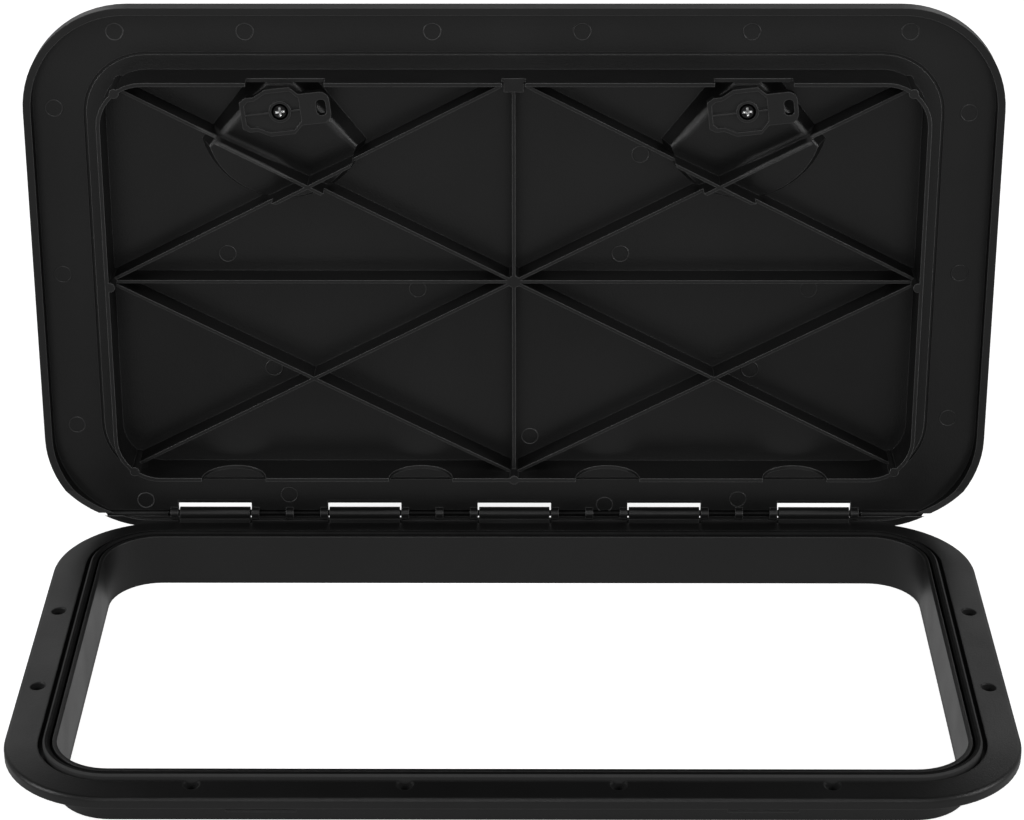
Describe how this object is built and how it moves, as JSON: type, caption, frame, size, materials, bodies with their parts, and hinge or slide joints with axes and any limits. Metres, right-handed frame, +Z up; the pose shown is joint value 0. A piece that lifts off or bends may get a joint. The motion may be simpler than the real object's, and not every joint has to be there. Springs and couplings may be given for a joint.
{
  "type": "deck access hatch",
  "caption": "Rectangular moulded deck access hatch: a flanged frame with a gasket and a rib-stiffened lid that swings open on a rear hinge and locks with turn latches.",
  "frame": {"origin": "centre of the lid's outline when closed, on the deck plane under the flange", "axes": "+X across the hatch, +Y to the hinge at the rear, +Z up from the deck"},
  "size_m": [0.606, 0.3526, 0.3785],
  "materials": {
    "black_plastic": "fine matt moulded texture",
    "black_rubber": "soft black rubber",
    "steel": "plain stainless steel",
    "dark_rod": "blackened stainless steel"
  },
  "bodies": {
    "frame": {"frame": "black_plastic", "gasket": "black_rubber"},
    "lid": {"lid": "black_plastic", "hinge_rod": "dark_rod"},
    "left_latch": {"left_latch_lever": "black_plastic", "left_latch_knob": "black_plastic", "left_latch_screw": "steel"},
    "right_latch": {"right_latch_lever": "black_plastic", "right_latch_knob": "black_plastic", "right_latch_screw": "steel"}
  },
  "joints": [
    {"name": "lid_hinge", "type": "hinge", "parent": "frame", "child": "lid", "pos_m": [0, 0.1671, 0.0113], "axis": [-1, 0, 0], "range_deg": [-92.5, 0]},
    {"name": "left_latch_turn", "type": "hinge", "parent": "lid", "child": "left_latch", "pos_m": [-0.1428, 0.15767, 0.29508], "axis": [0, -0.999, 0.0436], "range_deg": [-6.5, 83.5]},
    {"name": "right_latch_turn", "type": "hinge", "parent": "lid", "child": "right_latch", "pos_m": [0.1428, 0.15767, 0.29508], "axis": [0, -0.999, 0.0436], "range_deg": [-6.5, 83.5]}
  ]
}
